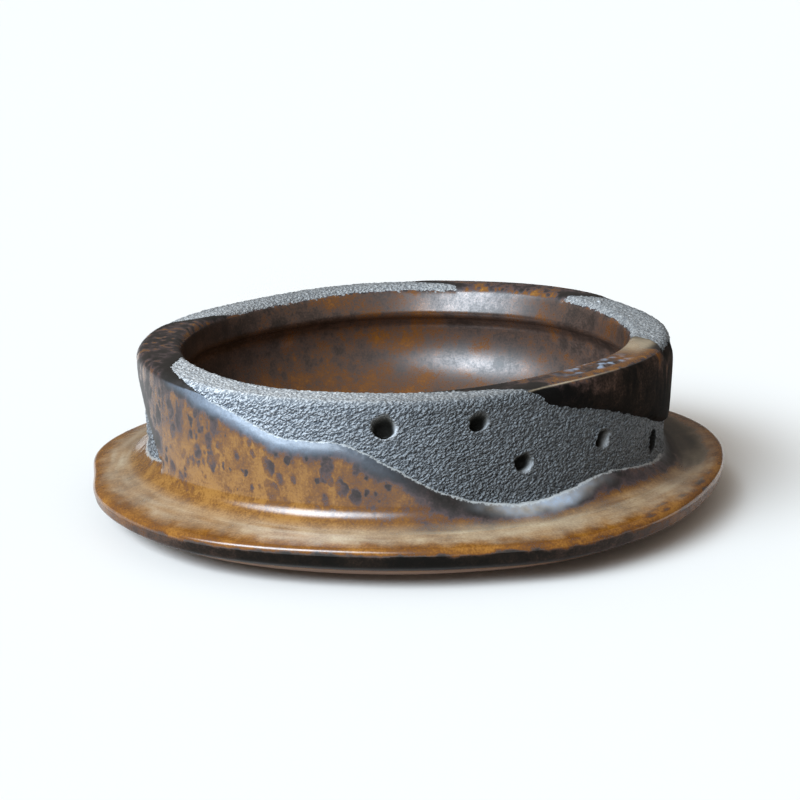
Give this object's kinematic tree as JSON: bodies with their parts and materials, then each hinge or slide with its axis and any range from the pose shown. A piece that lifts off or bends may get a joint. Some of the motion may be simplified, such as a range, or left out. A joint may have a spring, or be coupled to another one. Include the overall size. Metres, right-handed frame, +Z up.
{
  "type": "round bonsai pot",
  "caption": "Round glazed stoneware bonsai pot with a thick in-turned rim, a wide sloping brim, torn bare clay bands on the wall, low feet and a screened drain hole.",
  "frame": {"origin": "centre of the pot on the plane that its feet stand on", "axes": "+Z up the pot's axis, -Y towards the front of the picture, +X to its right"},
  "size_m": [0.19, 0.19, 0.051],
  "materials": {
    "brown_glaze": "glossy mottled ochre to black-brown glaze",
    "torn_clay": "bare coarse torn clay, dry and granular",
    "foot_clay": "bare wiped clay, matt",
    "screen_plastic": "moulded black net",
    "clip_wire": "soft drawn wire"
  },
  "bodies": {
    "root": {"wall_ring": "brown_glaze", "base_slab": "brown_glaze", "front_torn_panel": "torn_clay", "right_torn_panel": "torn_clay", "back_torn_panel": "torn_clay", "foot_front": "foot_clay", "foot_right": "foot_clay", "foot_left": "foot_clay", "drain_screen": "screen_plastic", "screen_clip": "clip_wire"}
  },
  "joints": []
}
